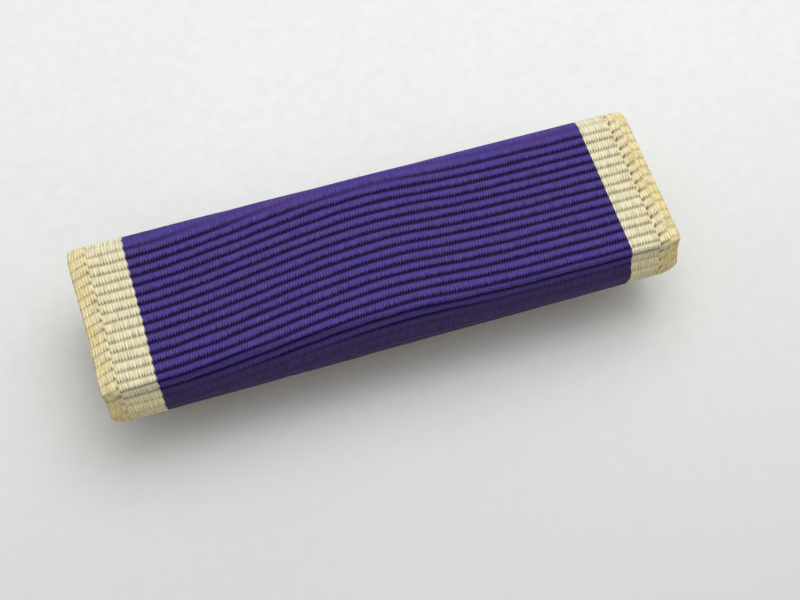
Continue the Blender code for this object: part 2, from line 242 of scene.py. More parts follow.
def roundedLine(corners, radii, steps=14):  # a line in Y and Z with its inner corners rounded
    points = [Vector(c) for c in corners]
    line = [points[0]]
    for corner, radius, before, after in zip(points[1:], radii, points, points[2:]):
        back = (before - corner).normalized()
        on = (after - corner).normalized()
        half = back.angle(on) / 2
        centre = corner + (back + on).normalized() * (radius / sin(half))
        start = corner + back * (radius / tan(half)) - centre
        turn = start.angle_signed(corner + on * (radius / tan(half)) - centre)
        line += [centre + Matrix.Rotation(-turn * i / steps, 2) @ start for i in range(steps + 1)]
    line.append(points[-1])
    return line


def addPath(name, corners, radii):  # the path and its length as far as the middle of the top face
    line = roundedLine(corners, radii)
    data = bpy.data.curves.new(name, "CURVE")
    data.dimensions = "3D"
    spline = data.splines.new("POLY")
    spline.points.add(len(line) - 1)
    for point, (y, z) in zip(spline.points, line):
        point.co = (0, y * mm, z * mm, 1)
    top = max(p.y for p in line) - 1  # the middle is looked for on the top face, not on the tucked ends
    front = line[: next(i for i, p in enumerate(line) if p.x > 0 and p.y > top)]
    front.append(front[-1].lerp(line[len(front)], -front[-1].x / (line[len(front)].x - front[-1].x)))
    along = sum((b - a).length for a, b in zip(front, front[1:]))
    return linkToScene(name, data), along * mm


# the wrap's cross-section: crisp at the ends, slack over the front fold in the middle
pathPlan = {
    "topZ": 6.6,
    "lowZ": 2.9,
    "backTopY": 5.58,
    "backLowY": 4.9,
    "frontLowY": -4.97,
    "tuckFrontY": 0.2,
    "tuckBackY": -0.9,
    "backBend": 0.85,
    "lowBend": 0.9,
    "crest": (-4.14, 6.72),
    "crease": (-4.53, 5.84),
    "endCrest": (-4.46, 6.6),
    "endCrease": (-4.68, 5.76),
    "bulge": (-5.22, 4.7),
    "crestBend": 0.3,
    "creaseBend": 0.5,
    "bulgeBend": 0.9,
}


def addPaths(s):
    lowFront = [(s["tuckFrontY"], s["lowZ"]), (s["frontLowY"], s["lowZ"])]
    back = [(s["backTopY"], s["topZ"]), (s["backLowY"], s["lowZ"]), (s["tuckBackY"], s["lowZ"])]
    lowFront.append(s["bulge"])
    radii = (s["lowBend"], s["bulgeBend"], s["creaseBend"], s["crestBend"], s["backBend"], s["lowBend"])
    end = addPath("endPath", lowFront + [s["endCrease"], s["endCrest"]] + back, radii)
    return end, addPath("middlePath", lowFront + [s["crease"], s["crest"]] + back, radii)


def ribbonTree(s):
    tree = bpy.data.node_groups.new("cordedRibbon", "GeometryNodeTree")
    face = tree.interface
    face.new_socket("Geometry", in_out="OUTPUT", socket_type="NodeSocketGeometry")
    sizes = ("Half width", "Rib pitch", "Rib height", "Thickness", "Wall thickness", "First row")
    sizes += ("Last row", "End path middle", "Middle path middle", "Rib shift", "Rib hump")
    for name in sizes:
        face.new_socket(name, in_out="INPUT", socket_type="NodeSocketFloat")
    for name in ("Columns", "Inner columns", "Rows", "Seed"):
        face.new_socket(name, in_out="INPUT", socket_type="NodeSocketInt")
    face.new_socket("End path", in_out="INPUT", socket_type="NodeSocketObject")
    face.new_socket("Middle path", in_out="INPUT", socket_type="NodeSocketObject")
    face.new_socket("Material", in_out="INPUT", socket_type="NodeSocketMaterial")
    given = tree.nodes.new("NodeGroupInput").outputs
    put = partial(addNode, tree)
    calc = "ShaderNodeMath"
    ease = "ShaderNodeMapRange"

    # a sheet of columns that run on round the rim and back under the outer face
    turnBack = put(calc, {0: given["Columns"], 1: given["Inner columns"]}, operation="ADD")
    around = put(calc, {0: turnBack, 1: 1.0}, operation="ADD")
    sheet = put(
        "GeometryNodeMeshGrid",
        {"Size X": 1.0, "Size Y": 1.0, "Vertices X": around, "Vertices Y": given["Rows"]},
    )
    place = tree.nodes.new("ShaderNodeSeparateXYZ")
    tree.links.new(put("GeometryNodeInputPosition", {}), place.inputs[0])
    column = put(ease, {"Value": place.outputs["X"], 1: -0.5, 2: 0.5, 3: 0.0, 4: turnBack})
    lastOuter = put(calc, {0: given["Columns"], 1: 1.0}, operation="SUBTRACT")
    lastInner = put(calc, {0: turnBack, 1: 1.0}, operation="SUBTRACT")
    outward = put(ease, {"Value": column, 1: 0.0, 2: lastOuter, 3: -1.0, 4: 1.0})
    inward = put(ease, {"Value": column, 1: given["Columns"], 2: lastInner, 3: 0.0, 4: -2.0})
    share = put(calc, {0: outward, 1: inward}, operation="ADD")
    pastOuter = put(calc, {0: given["Columns"], 1: 0.5}, operation="SUBTRACT")
    pastInner = put(calc, {0: turnBack, 1: 0.5}, operation="SUBTRACT")
    afterOuter = put(calc, {0: column, 1: pastOuter}, operation="GREATER_THAN")
    beforeEnd = put(calc, {0: column, 1: pastInner}, operation="LESS_THAN")
    inside = put(calc, {0: afterOuter, 1: beforeEnd}, operation="MULTIPLY")

    # columns stand closer together towards the selvedges
    quarter = put(calc, {0: share, 1: pi / 2}, operation="MULTIPLY")
    curved = put(calc, {0: quarter}, operation="SINE")
    curved = put(calc, {0: curved, 1: s["crowding"]}, operation="MULTIPLY")
    spread = put(calc, {0: share, 1: 1 - s["crowding"], 2: curved}, operation="MULTIPLY_ADD")
    x = put(calc, {0: spread, 1: given["Half width"]}, operation="MULTIPLY")
    feeds = {"Value": place.outputs["Y"], 1: -0.5, 2: 0.5, 3: given["First row"], 4: given["Last row"]}
    row = put(ease, feeds)
    sideways = put(calc, {0: x}, operation="ABSOLUTE")

    # every rib follows one long wave, because the cloth was pulled back as it was wrapped
    riseFrom, riseTo = (edge * mm for edge in s["riseFromTo"])
    rise = put(ease, {"Value": x, 1: riseFrom, 2: riseTo, 3: 0.0, 4: given["Rib shift"]}, **softly)

    def bellOver(centre, width):
        off = put(calc, {0: x, 1: centre * mm}, operation="SUBTRACT")
        off = put(calc, {0: off, 1: width * mm}, operation="DIVIDE")
        off = put(calc, {0: off, 1: 2.0}, operation="POWER")
        return put(calc, {0: put(calc, {0: off, 1: -1.0}, operation="MULTIPLY")}, operation="EXPONENT")

    hump = put(calc, {0: bellOver(*s["humpAt"]), 1: given["Rib hump"], 2: rise}, operation="MULTIPLY_ADD")
    ribNumber = put(calc, {0: row, 1: given["Rib pitch"]}, operation="DIVIDE")
    apart = put(calc, {0: x, 1: s["waverPerMetre"]}, operation="MULTIPLY")
    apart = put("ShaderNodeCombineXYZ", {0: apart, 1: ribNumber, 2: given["Seed"]})
    uneven = put("ShaderNodeTexNoise", {"Vector": apart, "Scale": 1.0, "Detail": 2.0})
    waver = put(ease, {"Value": uneven, **mostNoise, 3: -s["waver"] * mm, 4: s["waver"] * mm})
    path = put(calc, {0: put(calc, {0: row, 1: hump}, operation="ADD"), 1: waver}, operation="ADD")

    # the place and the outward way on each of the two cross-sections, mixed along the bar
    slack = bellOver(*s["slackAt"])
    found = []
    for end in ("End path", "Middle path"):
        curve = put("GeometryNodeObjectInfo", {"Object": given[end]}, "Geometry")
        reach = put(calc, {0: path, 1: given[end + " middle"]}, operation="ADD")
        sample = tree.nodes.new("GeometryNodeSampleCurve")
        sample.mode = "LENGTH"
        sample.use_all_curves = False
        tree.links.new(curve, sample.inputs["Curves"])
        tree.links.new(reach, sample.inputs["Length"])
        found.append((sample.outputs["Position"], sample.outputs["Tangent"]))
    spotAt = put("ShaderNodeMix", {0: slack, 4: found[0][0], 5: found[1][0]}, 1, data_type="VECTOR")
    along = put("ShaderNodeMix", {0: slack, 4: found[0][1], 5: found[1][1]}, 1, data_type="VECTOR")
    square = put("ShaderNodeVectorMath", {0: (1, 0, 0), 1: along}, operation="CROSS_PRODUCT")
    square = put("ShaderNodeVectorMath", {0: square}, operation="NORMALIZE")

    # the ribs flatten where the cloth is drawn tight down the two walls
    fromTop = put(calc, {0: path}, operation="ABSOLUTE")
    measured = dict.fromkeys(("frontRibs", "backRibs", "frontWall", "backWall", "toBack"), path)
    measured.update(under=fromTop, foldPull=fromTop, wallPull=fromTop, droop=sideways)
    fade = {}
    for name, value in measured.items():
        start, full, *far = (edge * mm for edge in s[name])
        feeds = {"Value": value, 1: start, 2: full, 4: far[0] if far else 1.0}
        fade[name] = put(ease, feeds, **softly)
    ribbed = put(calc, {0: fade["frontRibs"], 1: fade["backRibs"]}, operation="MULTIPLY")
    ribbed = put(calc, {0: ribbed, 1: fade["under"]}, operation="MAXIMUM")
    plump = put(ease, {"Value": ribbed, 3: s["wallRibs"], 4: 1.0})
    onWall = put(calc, {0: fade["frontWall"], 1: fade["backWall"]}, operation="ADD")
    onWall = put(calc, {0: onWall, 1: fade["under"]}, operation="SUBTRACT")

    # ribs: half an ellipse over each weft thread, stepped by half a rib in the selvedge
    fromLine = put(calc, {0: x, 1: -s["middleLine"] * mm}, operation="ADD")
    fromLine = put(calc, {0: fromLine}, operation="ABSOLUTE")
    steps = []
    for start in ("selvedgeStart", "selvedgeRim"):
        low, high = (s[start] - s["stepBlend"]) * mm, (s[start] + s["stepBlend"]) * mm
        steps.append(put(ease, {"Value": fromLine, 1: low, 2: high, 3: 0.0, 4: 0.5}))
    onRight = put(calc, {0: x, 1: 0.0}, operation="GREATER_THAN")
    undone = put(calc, {0: steps[1], 1: onRight}, operation="MULTIPLY")
    step = put(calc, {0: steps[0], 1: undone}, operation="SUBTRACT")
    first = put(calc, {0: row, 1: -s["firstGroove"] * mm}, operation="ADD")
    turns = put(calc, {0: first, 1: given["Rib pitch"]}, operation="DIVIDE")
    turns = put(calc, {0: turns, 1: step}, operation="ADD")
    part = put(calc, {0: turns}, operation="FRACT")
    off = put(calc, {0: part, 1: 2.0, 2: -1.0}, operation="MULTIPLY_ADD")
    off = put(calc, {0: off}, operation="ABSOLUTE")
    dip = put(calc, {0: off, 1: s["grooveSharp"]}, operation="POWER")
    feeds = {"Value": uneven, **mostNoise, 3: 1 - s["ribUneven"], 4: 1 + s["ribUneven"]}
    depth = put(ease, feeds)
    selvedge, rimStart = s["selvedgeStart"] * mm, s["selvedgeRim"] * mm
    calm = put(ease, {"Value": fromLine, 1: selvedge, 2: rimStart, 3: 1.0, 4: s["rimRibs"]})
    calm = put(calc, {0: calm, 1: plump}, operation="MULTIPLY")
    calm = put(calc, {0: calm, 1: given["Rib height"]}, operation="MULTIPLY")
    depth = put(calc, {0: depth, 1: calm}, operation="MULTIPLY")
    relief = put(calc, {0: dip, 1: depth}, operation="MULTIPLY")
    relief = put(calc, {0: relief, 1: -1.0}, operation="MULTIPLY")

    # the selvedge droops past the tray's end and has a round rim
    inRim = put(calc, {0: given["Half width"], 1: -s["rimWidth"] * mm}, operation="ADD")
    rim = put(ease, {"Value": sideways, 1: inRim, 2: given["Half width"], 3: 0.0, 4: 1.0})
    rim = put(calc, {0: rim, 1: 3.0}, operation="POWER")
    outerLift = put(calc, {0: rim, 1: -s["rimDrop"] * mm, 2: relief}, operation="MULTIPLY_ADD")
    thinFrom, thinTo = (edge * mm for edge in s["thinsFromTo"])
    feeds = {"Value": fromTop, 1: thinFrom, 2: thinTo, 3: given["Thickness"], 4: given["Wall thickness"]}
    thin = put(ease, feeds, **softly)
    innerLift = put(calc, {0: thin, 1: -1.0}, operation="MULTIPLY")
    lift = put("ShaderNodeMix", {0: inside, 2: outerLift, 3: innerLift})
    lift = put(calc, {0: lift, 1: fade["droop"]}, operation="ADD")
    moved = put("ShaderNodeVectorMath", {0: square, 3: lift}, operation="SCALE")
    moved = put("ShaderNodeVectorMath", {0: spotAt, 1: moved}, operation="ADD")

    # the corners pull in where the ribbon goes over its folds
    ratio = put(calc, {0: x, 1: given["Half width"]}, operation="DIVIDE")
    pull = put(calc, {0: put(calc, {0: ratio}, operation="ABSOLUTE"), 1: s["pullPower"]}, operation="POWER")
    pull = put(calc, {0: pull, 1: put(calc, {0: ratio}, operation="SIGN")}, operation="MULTIPLY")
    shrink = put(calc, {0: fade["foldPull"], 1: fade["wallPull"]}, operation="ADD")
    shrink = put(calc, {0: shrink, 1: pull}, operation="MULTIPLY")
    shrink = put(calc, {0: shrink, 1: -1.0}, operation="MULTIPLY")
    scallop = put(calc, {0: pull, 1: -s["scallop"] * mm}, operation="MULTIPLY")
    scallop = put(calc, {0: dip, 1: scallop}, operation="MULTIPLY")
    finalX = put(calc, {0: put(calc, {0: x, 1: shrink}, operation="ADD"), 1: scallop}, operation="ADD")
    cornerFrom, cornerTo, cornerOut = (edge * mm for edge in s["backCorner"])
    atCorner = put(ease, {"Value": x, 1: cornerFrom, 2: cornerTo, 3: 0.0, 4: cornerOut})
    finalX = put(calc, {0: fade["toBack"], 1: atCorner, 2: finalX}, operation="MULTIPLY_ADD")
    finalPlace = put("ShaderNodeCombineXYZ", {0: finalX})
    finalPlace = put("ShaderNodeVectorMath", {0: finalPlace, 1: moved}, operation="ADD")

    # the cloth's own flat coordinates
    span = s["uvSpan"] * mm
    flatX = put(calc, {0: x, 1: 1 / span, 2: 0.5}, operation="MULTIPLY_ADD")
    flatY = put(calc, {0: row, 1: 1 / span, 2: 0.5}, operation="MULTIPLY_ADD")
    flat = put("ShaderNodeCombineXYZ", {0: flatX, 1: flatY})
    store = "GeometryNodeStoreNamedAttribute"
    feeds = {"Geometry": sheet, "Name": "UVMap", "Value": flat}
    stored = put(store, feeds, data_type="FLOAT2", domain="CORNER")
    for name, value in (("ribbed", ribbed), ("onWall", onWall)):
        feeds = {"Geometry": stored, "Name": name, "Value": value}
        stored = put(store, feeds, data_type="FLOAT", domain="POINT")
    shaped = put("GeometryNodeSetPosition", {"Geometry": stored, "Position": finalPlace})
    closed = put("GeometryNodeMergeByDistance", {"Geometry": shaped, "Distance": 0.002 * mm})
    smooth = put("GeometryNodeSetShadeSmooth", {"Geometry": closed})
    plain = put("GeometryNodeRealizeInstances", {"Geometry": smooth})
    dressed = put("GeometryNodeSetMaterial", {"Geometry": plain, "Material": given["Material"]})
    result = tree.nodes.new("NodeGroupOutput")
    tree.links.new(dressed, result.inputs[0])
    return tree


def runTree(name, tree, values, base=None):  # the tree's result as a plain mesh object
    maker = linkToScene(name + "Maker", base or bpy.data.meshes.new(name + "Base"))
    modifier = maker.modifiers.new("nodes", "NODES")
    modifier.node_group = tree
    sockets = {item.name: item.identifier for item in tree.interface.items_tree if item.in_out == "INPUT"}
    for label, value in values.items():
        modifier[sockets[label]] = value
    graph = bpy.context.evaluated_depsgraph_get()
    mesh = bpy.data.meshes.new_from_object(maker.evaluated_get(graph), depsgraph=graph)
    mesh.name = name
    bpy.data.objects.remove(maker)
    return linkToScene(name, mesh)


def closeAndTurnOut(mesh):  # caps the open ends and points every face outwards
    work = bmesh.new()
    work.from_mesh(mesh)
    openEdges = [edge for edge in work.edges if edge.is_boundary]
    bmesh.ops.holes_fill(work, edges=openEdges, sides=0)
    bmesh.ops.recalc_face_normals(work, faces=work.faces)
    work.to_mesh(mesh)
    work.free()


# woven rayon ribbon: silky, finely lined across its ribs, a little yellow at the selvedge
weavePlan = {
    "colours": {
        "purpleTop": "#4b3a80",
        "purpleBlue": "#463888",
        "purpleRed": "#4e397d",
        "purpleWallShade": "#473868",  # greyer and darker: painted shade on the walls
        # painted shade for the grooves between the ribs, on the purple and on the ivory
        "purpleGrooveShade": "#10042e",
        "ivoryTop": "#dbd4b4",
        "ivoryGrooveShade": "#978a6a",
        "yellowed": "#dfcb8f",
        "rust": "#b0905f",
        "hole": "#6d6044",
        # painted glints on single threads
        "paintedGlint": "#6f5da6",
    },
    # each a noise's grain in mm across and along the ribbon, its detail, the values where the
    # pattern starts and is full, and its strength
    "patterns": {
        "hue": (3.2, 1.1, 3.0, 0.38, 0.62, 1.0),
        # painted glints: small pale spots on the threads
        "paintedGlints": (0.11, 0.2, 0.0, 0.77, 0.84, 0.6),
        "stain": (0.9, 1.6, 3.0, 0.35, 0.7, 0.6),
        "rust": (0.35, 0.5, 3.0, 0.58, 0.75, 0.5),
    },
    "threadGrain": (0.12, 0.9, 2.0),
    "lineTones": (0.8, 1.22),  # the darkest and palest lines
    "lineContrast": 0.13,
    "toothReach": 0.055,  # mm that a warp thread pushes a groove's edge
    "jitter": 0.025,
    "slant": 0.5,  # of a rib for each mm into the selvedge
    "flatPurple": 0.12,  # shares of the painted groove shade left where the ribs are flat
    "flatIvory": 0.25,
    # painted shade on the walls: a share of the groove shade on the purple, and a yellower tint on the
    # ivory
    "wallShade": 0.25,
    "wallShadeTint": 0.4,
    "leastStain": 0.45,
    "agedFromTo": (15.4, 17.4),  # mm from the middle line
    "holeAt": 0.09,  # mm past the selvedge's start
    "holeFades": (0.05, 0.17),  # mm from a hole's middle
    "holeDark": 0.85,
    "leftHoles": 0.45,  # share of that at the left selvedge
    "bay": 0.07,
    "bump": 0.03,
}


def weaveMaterial(s, weave):
    made, shader, put = startMaterial(
        "wovenRayonRibbon", Roughness=0.62, Specular_IOR_Level=0.1, Sheen_Weight=0.02, Sheen_Roughness=0.4
    )
    tree = made.node_tree
    calc = "ShaderNodeMath"
    ease = "ShaderNodeMapRange"
    flat = put("ShaderNodeUVMap", {}, uv_map="UVMap")
    middle, span = -s["uvSpan"] / 2, s["uvSpan"]
    feeds = {"Vector": flat, "Location": (middle, middle, 0), "Scale": (span, span, 1)}
    flat = put("ShaderNodeMapping", feeds)
    apart = tree.nodes.new("ShaderNodeSeparateXYZ")
    tree.links.new(flat, apart.inputs[0])
    u, v = apart.outputs["X"], apart.outputs["Y"]  # mm across the ribbon and along it

    def noiseAt(across, down, detail):  # grains of so many mm each way
        where = put("ShaderNodeMapping", {"Vector": flat, "Scale": (1 / across, 1 / down, 1)})
        return put("ShaderNodeTexNoise", {"Vector": where, "Scale": 1.0, "Detail": detail})

    # warp threads go over and under each rib in turn, so a groove has a toothed edge
    ribbed = put("ShaderNodeAttribute", {}, "Fac", attribute_name="ribbed")
    onWall = put("ShaderNodeAttribute", {}, "Fac", attribute_name="onWall")
    thread = noiseAt(*weave["threadGrain"])
    tooth = put(calc, {0: u, 1: 2 * pi / s["warp"]}, operation="MULTIPLY")
    tooth = put(calc, {0: tooth}, operation="SINE")
    fromLine = put(calc, {0: u, 1: -s["middleLine"]}, operation="ADD")
    fromLine = put(calc, {0: fromLine}, operation="ABSOLUTE")
    inSelvedge = put(calc, {0: fromLine, 1: s["selvedgeStart"]}, operation="GREATER_THAN")
    onRim = put(calc, {0: fromLine, 1: s["selvedgeRim"]}, operation="GREATER_THAN")
    onRight = put(calc, {0: u, 1: 0.0}, operation="GREATER_THAN")
    rightRim = put(calc, {0: onRim, 1: onRight}, operation="MULTIPLY")
    band = put(calc, {0: inSelvedge, 1: rightRim}, operation="SUBTRACT")
    slant = put(calc, {0: fromLine, 1: -s["selvedgeStart"]}, operation="ADD")
    slant = put(calc, {0: slant, 1: put(calc, {0: u}, operation="SIGN")}, operation="MULTIPLY")
    slant = put(calc, {0: slant, 1: -weave["slant"]}, operation="MULTIPLY")
    slant = put(calc, {0: slant, 1: band}, operation="MULTIPLY")
    ribs = put(calc, {0: v, 1: -s["firstGroove"]}, operation="ADD")
    ribs = put(calc, {0: tooth, 1: weave["toothReach"], 2: ribs}, operation="MULTIPLY_ADD")
    feeds = {"Value": thread, **mostNoise, 3: -weave["jitter"], 4: weave["jitter"]}
    jitter = put(ease, feeds, **softly)
    ribs = put(calc, {0: ribs, 1: jitter}, operation="ADD")
    ribs = put(calc, {0: ribs, 1: 1 / s["pitch"]}, operation="MULTIPLY")
    ribs = put(calc, {0: band, 1: 0.5, 2: ribs}, operation="MULTIPLY_ADD")
    ribs = put(calc, {0: ribs, 1: slant}, operation="ADD")
    part = put(calc, {0: ribs}, operation="FRACT")
    groove = put(calc, {0: part, 1: 2.0, 2: -1.0}, operation="MULTIPLY_ADD")
    groove = put(calc, {0: groove}, operation="ABSOLUTE")

    # dyed warp: purple between two ivory borders, with bluer and redder yarn here and there, painted glints
    # on the threads, and painted shade in the grooves and on the walls
    shade = {name: linear(tone) for name, tone in weave["colours"].items()}
    pattern = {}
    for name, (across, down, detail, low, high, strength) in weave["patterns"].items():
        feeds = {"Value": noiseAt(across, down, detail), 1: low, 2: high, 4: strength}
        pattern[name] = put(ease, feeds, **softly)
    feeds = {0: pattern["hue"], 6: shade["purpleBlue"], 7: shade["purpleRed"]}
    purple = put("ShaderNodeMix", feeds, **asColour)
    purple = put("ShaderNodeMix", {0: 0.5, 6: purple, 7: shade["purpleTop"]}, **asColour)
    # painted glints on single threads
    purple = put("ShaderNodeMix", {0: pattern["paintedGlints"], 6: purple, 7: shade["paintedGlint"]}, **asColour)
    # painted shade: the purple walls are greyer and darker
    purple = put("ShaderNodeMix", {0: onWall, 6: purple, 7: shade["purpleWallShade"]}, **asColour)
    # painted shade in the grooves, less where the ribs are flat
    paintedShade = put(ease, {"Value": groove, 1: 0.3, 2: 0.94}, **softly)
    faded = put(ease, {"Value": ribbed, 3: weave["flatPurple"]}, **softly)
    paintedShade = put(calc, {0: paintedShade, 1: faded}, operation="MULTIPLY")
    # painted shade on the walls
    paintedShade = put(calc, {0: onWall, 1: weave["wallShade"], 2: paintedShade}, operation="MULTIPLY_ADD")
    purple = put("ShaderNodeMix", {0: paintedShade, 6: purple, 7: shade["purpleGrooveShade"]}, **asColour)
    stain = put(calc, {0: pattern["stain"], 1: weave["leastStain"]}, operation="ADD")
    newest, oldest = weave["agedFromTo"]
    agedAndShadeTint = put(ease, {"Value": fromLine, 1: newest, 2: oldest}, **softly)
    agedAndShadeTint = put(calc, {0: agedAndShadeTint, 1: stain}, operation="MULTIPLY")
    # painted shade tint: the ivory walls are yellower, on top of the real yellowing at the selvedge
    agedAndShadeTint = put(calc, {0: onWall, 1: weave["wallShadeTint"], 2: agedAndShadeTint}, operation="MULTIPLY_ADD")
    ivory = put("ShaderNodeMix", {0: agedAndShadeTint, 6: shade["ivoryTop"], 7: shade["yellowed"]}, **asColour)
    rust = put(calc, {0: pattern["rust"], 1: inSelvedge}, operation="MULTIPLY")
    ivory = put("ShaderNodeMix", {0: rust, 6: ivory, 7: shade["rust"]}, **asColour)
    # painted shade in the ivory grooves, less on the rim
    paintedShade = put(ease, {"Value": groove, 1: 0.5, 2: 1.0, 4: 0.8}, **softly)
    faded = put(ease, {"Value": ribbed, 3: weave["flatIvory"]}, **softly)
    paintedShade = put(calc, {0: paintedShade, 1: faded}, operation="MULTIPLY")
    shallow = put(calc, {0: onRim, 1: -0.45, 2: 1.0}, operation="MULTIPLY_ADD")
    paintedShade = put(calc, {0: paintedShade, 1: shallow}, operation="MULTIPLY")
    ivory = put("ShaderNodeMix", {0: paintedShade, 6: ivory, 7: shade["ivoryGrooveShade"]}, **asColour)

    # small dark holes where the ribs turn back at the selvedge
    turnAt = s["selvedgeStart"] + weave["holeAt"]
    onTurn = put(calc, {0: fromLine, 1: -turnAt}, operation="ADD")
    onTurn = put(calc, {0: onTurn}, operation="ABSOLUTE")
    full, gone = weave["holeFades"]
    onTurn = put(ease, {"Value": onTurn, 1: full, 2: gone, 3: weave["holeDark"], 4: 0.0}, **softly)
    inGroove = put(ease, {"Value": groove, 1: 0.45, 2: 0.95}, **softly)
    hole = put(calc, {0: onTurn, 1: inGroove}, operation="MULTIPLY")
    rightward = put(ease, {"Value": u, 1: -1.0, 2: 1.0, 3: weave["leftHoles"]}, **softly)
    hole = put(calc, {0: hole, 1: rightward}, operation="MULTIPLY")
    ivory = put("ShaderNodeMix", {0: hole, 6: ivory, 7: shade["hole"]}, **asColour)

    # the border shows a small bay on each rib
    bay = put(calc, {0: u}, operation="ABSOLUTE")
    bay = put(calc, {0: groove, 1: -weave["bay"], 2: bay}, operation="MULTIPLY_ADD")
    feeds = {"Value": bay, 1: s["purpleHalf"] - weave["bay"], 2: s["purpleHalf"]}
    border = put(ease, feeds, **softly)
    cloth = put("ShaderNodeMix", {0: border, 6: purple, 7: ivory}, **asColour)
    darkest, palest = weave["lineTones"]
    lines = put(ease, {"Value": thread, 1: 0.25, 2: 0.75, 3: darkest, 4: palest}, **softly)
    lines = put(calc, {0: tooth, 1: weave["lineContrast"], 2: lines}, operation="MULTIPLY_ADD")
    cloth = put("ShaderNodeVectorMath", {0: cloth, 3: lines}, operation="SCALE")
    tree.links.new(cloth, shader.inputs["Base Color"])

    # thread relief, drawn at the pair's spacing because single threads are too fine to show
    height = put(calc, {0: groove, 1: 3.0}, operation="POWER")
    threads = put(calc, {0: tooth, 1: 0.3}, operation="MULTIPLY")
    height = put(calc, {0: height, 1: -1.2, 2: threads}, operation="MULTIPLY_ADD")
    height = put(calc, {0: height, 1: thread}, operation="ADD")
    lift = put("ShaderNodeBump", {"Height": height, "Distance": weave["bump"] * mm, "Strength": 0.7})
    tree.links.new(lift, shader.inputs["Normal"])
    return made


# short broken fibres that stand out of the rims and the folds, in mm
fibrePlan = {
    "perSquare": 0.9,  # on each square millimetre of a rim
    "foldShare": 0.3,  # of that, on a fold
    "reach": 0.32,
    "radius": 0.007,
    "lean": 0.8,  # radians
    "rimX": 17.15,
    "foldFrontY": -4.3,
    "foldBackY": 5.05,
    "lowest": 3.4,
    "purple": "#5d4a94",
    "cream": "#e6dcb8",
    "cloud": 0.4,
    "seed": 11,
}


def fibreTree(s):
    tree = bpy.data.node_groups.new("looseFibres", "GeometryNodeTree")
    face = tree.interface
    face.new_socket("Geometry", in_out="OUTPUT", socket_type="NodeSocketGeometry")
    for name in ("Density", "Reach", "Radius"):
        face.new_socket(name, in_out="INPUT", socket_type="NodeSocketFloat")
    face.new_socket("Seed", in_out="INPUT", socket_type="NodeSocketInt")
    face.new_socket("Cloth", in_out="INPUT", socket_type="NodeSocketObject")
    face.new_socket("Material", in_out="INPUT", socket_type="NodeSocketMaterial")
    given = tree.nodes.new("NodeGroupInput").outputs
    put = partial(addNode, tree)
    calc = "ShaderNodeMath"
    cloth = put("GeometryNodeObjectInfo", {"Object": given["Cloth"]}, "Geometry")
    place = tree.nodes.new("ShaderNodeSeparateXYZ")
    tree.links.new(put("GeometryNodeInputPosition", {}), place.inputs[0])
    sideways = put(calc, {0: place.outputs["X"]}, operation="ABSOLUTE")
    onRim = put(calc, {0: sideways, 1: s["rimX"] * mm}, operation="GREATER_THAN")
    onBack = put(calc, {0: place.outputs["Y"], 1: s["foldBackY"] * mm}, operation="GREATER_THAN")
    onFront = put(calc, {0: place.outputs["Y"], 1: s["foldFrontY"] * mm}, operation="LESS_THAN")
    onFold = put(calc, {0: onBack, 1: onFront}, operation="MAXIMUM")
    onFold = put(calc, {0: onFold, 1: s["foldShare"]}, operation="MULTIPLY")
    high = put(calc, {0: place.outputs["Z"], 1: s["lowest"] * mm}, operation="GREATER_THAN")
    where = put(calc, {0: onRim, 1: onFold}, operation="MAXIMUM")
    where = put(calc, {0: where, 1: high}, operation="MULTIPLY")
    density = put(calc, {0: where, 1: given["Density"]}, operation="MULTIPLY")
    scattered = tree.nodes.new("GeometryNodeDistributePointsOnFaces")
    tree.links.new(cloth, scattered.inputs["Mesh"])
    tree.links.new(density, scattered.inputs["Density"])
    tree.links.new(given["Seed"], scattered.inputs["Seed"])
    hair = put(
        "GeometryNodeCurveQuadraticBezier",
        {"Resolution": 6, "Start": (0, 0, 0), "Middle": (0.1, 0, 0.7), "End": (0.8, 0.2, 0.75)},
    )
    size = put("FunctionNodeRandomValue", {2: 0.3, 3: 1.0, "Seed": given["Seed"]}, 1, data_type="FLOAT")
    size = put(calc, {0: size, 1: given["Reach"]}, operation="MULTIPLY")
    feeds = {"Points": scattered.outputs["Points"], "Instance": hair, "Scale": size}
    stood = put("GeometryNodeInstanceOnPoints", {**feeds, "Rotation": scattered.outputs["Rotation"]})
    lean = s["lean"]
    feeds = {0: (-lean, -lean, -pi), 1: (lean, lean, pi)}
    leaning = put("FunctionNodeRandomValue", feeds, 0, data_type="FLOAT_VECTOR")
    stood = put("GeometryNodeRotateInstances", {"Instances": stood, "Rotation": leaning})
    lines = put("GeometryNodeRealizeInstances", {"Geometry": stood})
    ring = put("GeometryNodeCurvePrimitiveCircle", {"Resolution": 4, "Radius": given["Radius"]})
    tubes = put("GeometryNodeCurveToMesh", {"Curve": lines, "Profile Curve": ring, "Fill Caps": True})
    smooth = put("GeometryNodeSetShadeSmooth", {"Geometry": tubes})
    plain = put("GeometryNodeRealizeInstances", {"Geometry": smooth})
    dressed = put("GeometryNodeSetMaterial", {"Geometry": plain, "Material": given["Material"]})
    result = tree.nodes.new("NodeGroupOutput")
    tree.links.new(dressed, result.inputs[0])
    return tree


